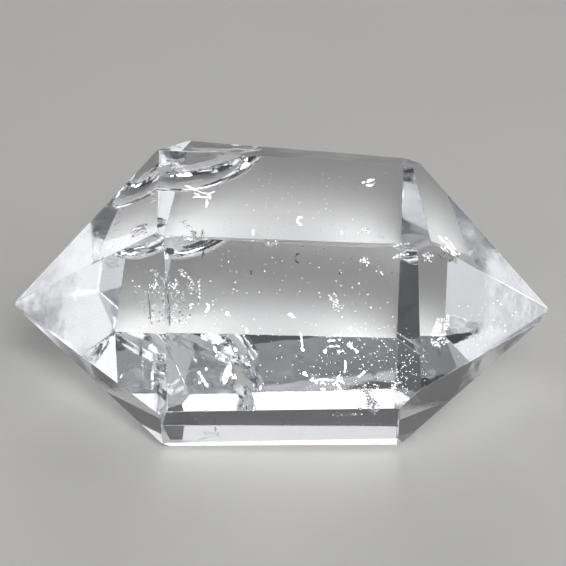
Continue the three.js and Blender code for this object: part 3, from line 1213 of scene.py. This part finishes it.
class QUARTZ_OT_grow_flecks(bpy.types.Operator):
    """Strews flecks over patches and veils inside the stone"""
    bl_idname = "quartz.grow_flecks"
    bl_label = "Grow the flecks"

    def execute(self, context):
        settings = context.scene.quartz_flecks
        tree, material = fleck_tree(), white_fleck()
        gathered = bmesh.new()
        for index, (name, place) in enumerate(FLECK_PATCHES.items()):
            seam = Seam(place["middle"], place["depth"], BRIGHTEST)
            sheet = fleck_sheet(name, seam, place["outline"])
            flecks = strew(sheet, tree, {
                "Density": settings.amount / (place["spacing"] * MM) ** 2,
                "Fleck Width": place["size"] * MM * settings.size,
                "Flatness": FLECK_FLATNESS, "Facing": tuple(seam.facing), "Tilt": settings.tilt,
                "Seed": settings.seed + index, "Material": material,
            })
            bpy.data.objects.remove(sheet)
            if not flecks.polygons:
                raise RuntimeError(f"no flecks grew in {name}")
            gathered.from_mesh(flecks)
        mesh = mesh_of("flecks", gathered)
        mesh.materials.append(material)
        flecks = new_object("flecks", mesh)
        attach(flecks, "root")
        return {"FINISHED"}


# ------------------------------------------------------------------------------------------ the stage

SOFTBOX_DISTANCE = 0.9
EDGE_FALL = (0.1, 0.6)      # where a softbox starts and ends falling off, as parts of its width
EDGE_GLOW = (1.2, 0.85)     # its glow at the middle and at the edges
AIM_HEIGHT = 0.01           # the softboxes aim this high above the middle of the floor
FLOOR_GAP = 0.02 * MM
FLOOR_RADIUS = 3.0
FLOOR_SIDES = 96
FLOOR_MOTTLE = 0.95         # the floor's darker colour, beside the one that is set
ROOM_BLUE = 1.05            # the room's blue, beside its red and green
SENSOR = 36                 # width of the camera's sensor, in millimetres
NEAR_CLIP = 0.005


class StageSettings(bpy.types.PropertyGroup):
    brightness: FloatProperty(
        name="Brightness", description="Scales every softbox", default=1.2, min=0,
    )
    fill: FloatProperty(
        name="Fill", description="Brightness of the room round the softboxes", default=0.06, min=0,
    )
    floor_colour: FloatVectorProperty(
        name="Floor colour", description="Colour of the matt floor",
        default=(0.90, 0.89, 0.87), min=0, max=1, size=3, subtype="COLOR",
    )


def matt_floor(settings):
    """Pale matt board with a faint tooth."""
    material, tree, surface, _ = new_material("matt_floor")
    vector = object_coordinates(tree)
    mottle = noise_at(tree, vector, 25 * MM, detail=3)
    darker = [part * FLOOR_MOTTLE for part in settings.floor_colour]
    tree.links.new(blend(tree, mottle, settings.floor_colour, darker), surface.inputs["Base Color"])
    surface.inputs["Roughness"].default_value = 0.9
    tooth = noise_at(tree, vector, 0.5 * MM, detail=4, roughness=0.7)
    tree.links.new(bump(tree, tooth, 0.02 * MM), surface.inputs["Normal"])
    return material


def make_floor(settings):
    disc = bmesh.new()
    bmesh.ops.create_circle(disc, cap_ends=True, segments=FLOOR_SIDES, radius=FLOOR_RADIUS)
    for vertex in disc.verts:
        vertex.co.z = -FLOOR_GAP
    mesh = mesh_of("floor", disc)
    mesh.materials.append(matt_floor(settings))
    new_object("floor", mesh)


def soften_edges(light):
    """Lets a softbox fall off from its middle to its edges."""
    light.use_nodes = True
    tree = light.node_tree
    across = tree.nodes.new("ShaderNodeVectorMath")
    across.operation = "DISTANCE"
    across.inputs[1].default_value = (0.5, 0.5, 0)
    tree.links.new(tree.nodes.new("ShaderNodeNewGeometry").outputs["Parametric"], across.inputs[0])
    glow = spread(tree, across.outputs["Value"], *EDGE_FALL, *EDGE_GLOW)
    tree.links.new(glow, tree.nodes["Emission"].inputs["Strength"])


def make_softbox(name, azimuth, elevation, half_width, half_height, brightness):
    """A softbox that faces the crystal and fills the given angles as seen from it."""
    way = way_of(azimuth, elevation)
    light = bpy.data.lights.new(name, "AREA")
    light.shape = "RECTANGLE"
    light.size = 2 * SOFTBOX_DISTANCE * math.tan(math.radians(half_width))
    light.size_y = 2 * SOFTBOX_DISTANCE * math.tan(math.radians(half_height))
    light.energy = brightness * math.pi * light.size * light.size_y
    soften_edges(light)
    lamp = new_object(name, light)
    lamp.location = way * SOFTBOX_DISTANCE + Vector((0, 0, AIM_HEIGHT))
    lamp.rotation_euler = way.to_track_quat("Z", "Y").to_euler()
    lamp.visible_camera = False


def make_room(fill):
    world = bpy.data.worlds.new("room")
    world.use_nodes = True
    background = world.node_tree.nodes["Background"]
    background.inputs["Color"].default_value = (fill, fill, fill * ROOM_BLUE, 1)
    bpy.context.scene.world = world


def make_camera():
    lens = bpy.data.cameras.new("camera")
    lens.sensor_width = SENSOR
    lens.lens = FOCAL_PIXELS / PICTURE * SENSOR
    lens.clip_start = NEAR_CLIP
    camera = new_object("camera", lens)
    camera.location = EYE
    camera.rotation_euler = (math.pi / 2 - LOOK_DOWN, 0, 0)
    bpy.context.scene.camera = camera


def set_light_paths():
    """Clear stone needs many bounces, and its bright parts are light bent through it."""
    scene = bpy.context.scene
    scene.view_settings.view_transform = "Standard"
    paths = scene.cycles
    paths.max_bounces = 32
    paths.transmission_bounces = 32
    paths.glossy_bounces = 16
    paths.transparent_max_bounces = 32
    paths.caustics_refractive = True
    paths.caustics_reflective = True
    paths.blur_glossy = 0.0
    paths.sample_clamp_indirect = 6.0
    paths.use_denoising = True


class QUARTZ_OT_set_stage(bpy.types.Operator):
    """Lays the floor and sets the softboxes, the room and the camera"""
    bl_idname = "quartz.set_stage"
    bl_label = "Set the stage"

    def execute(self, context):
        settings = context.scene.quartz_stage
        make_floor(settings)
        for name, (azimuth, elevation, half_width, half_height, brightness) in SOFTBOXES.items():
            make_softbox(
                name, azimuth, elevation, half_width, half_height, brightness * settings.brightness
            )
        make_room(settings.fill)
        make_camera()
        set_light_paths()
        return {"FINISHED"}


# ------------------------------------------------------------------------------------ panel and main

class QUARTZ_PT_panel(bpy.types.Panel):
    bl_label = "Quartz crystal"
    bl_idname = "QUARTZ_PT_panel"
    bl_space_type = "VIEW_3D"
    bl_region_type = "UI"
    bl_category = "Quartz"

    def draw(self, context):
        for operator in OPERATORS:
            self.layout.operator(operator.bl_idname)
        for group in SETTINGS:
            box = self.layout.box()
            values = getattr(context.scene, group)
            for name in values.__annotations__:
                box.prop(values, name)


SETTINGS = {
    "quartz_stone": StoneSettings,
    "quartz_breaks": BreakSettings,
    "quartz_flecks": FleckSettings,
    "quartz_stage": StageSettings,
}
OPERATORS = (QUARTZ_OT_grind_stone, QUARTZ_OT_open_breaks, QUARTZ_OT_grow_flecks, QUARTZ_OT_set_stage)


def register():
    for group, kind in SETTINGS.items():
        bpy.utils.register_class(kind)
        setattr(bpy.types.Scene, group, PointerProperty(type=kind))
    for kind in (*OPERATORS, QUARTZ_PT_panel):
        bpy.utils.register_class(kind)


def unregister():
    for kind in (QUARTZ_PT_panel, *reversed(OPERATORS)):
        bpy.utils.unregister_class(kind)
    for group, kind in reversed(SETTINGS.items()):
        delattr(bpy.types.Scene, group)
        bpy.utils.unregister_class(kind)


def main():
    register()
    bpy.ops.quartz.grind_stone()
    bpy.ops.quartz.open_breaks()
    bpy.ops.quartz.grow_flecks()
    bpy.ops.quartz.set_stage()


if __name__ == "__main__":
    main()
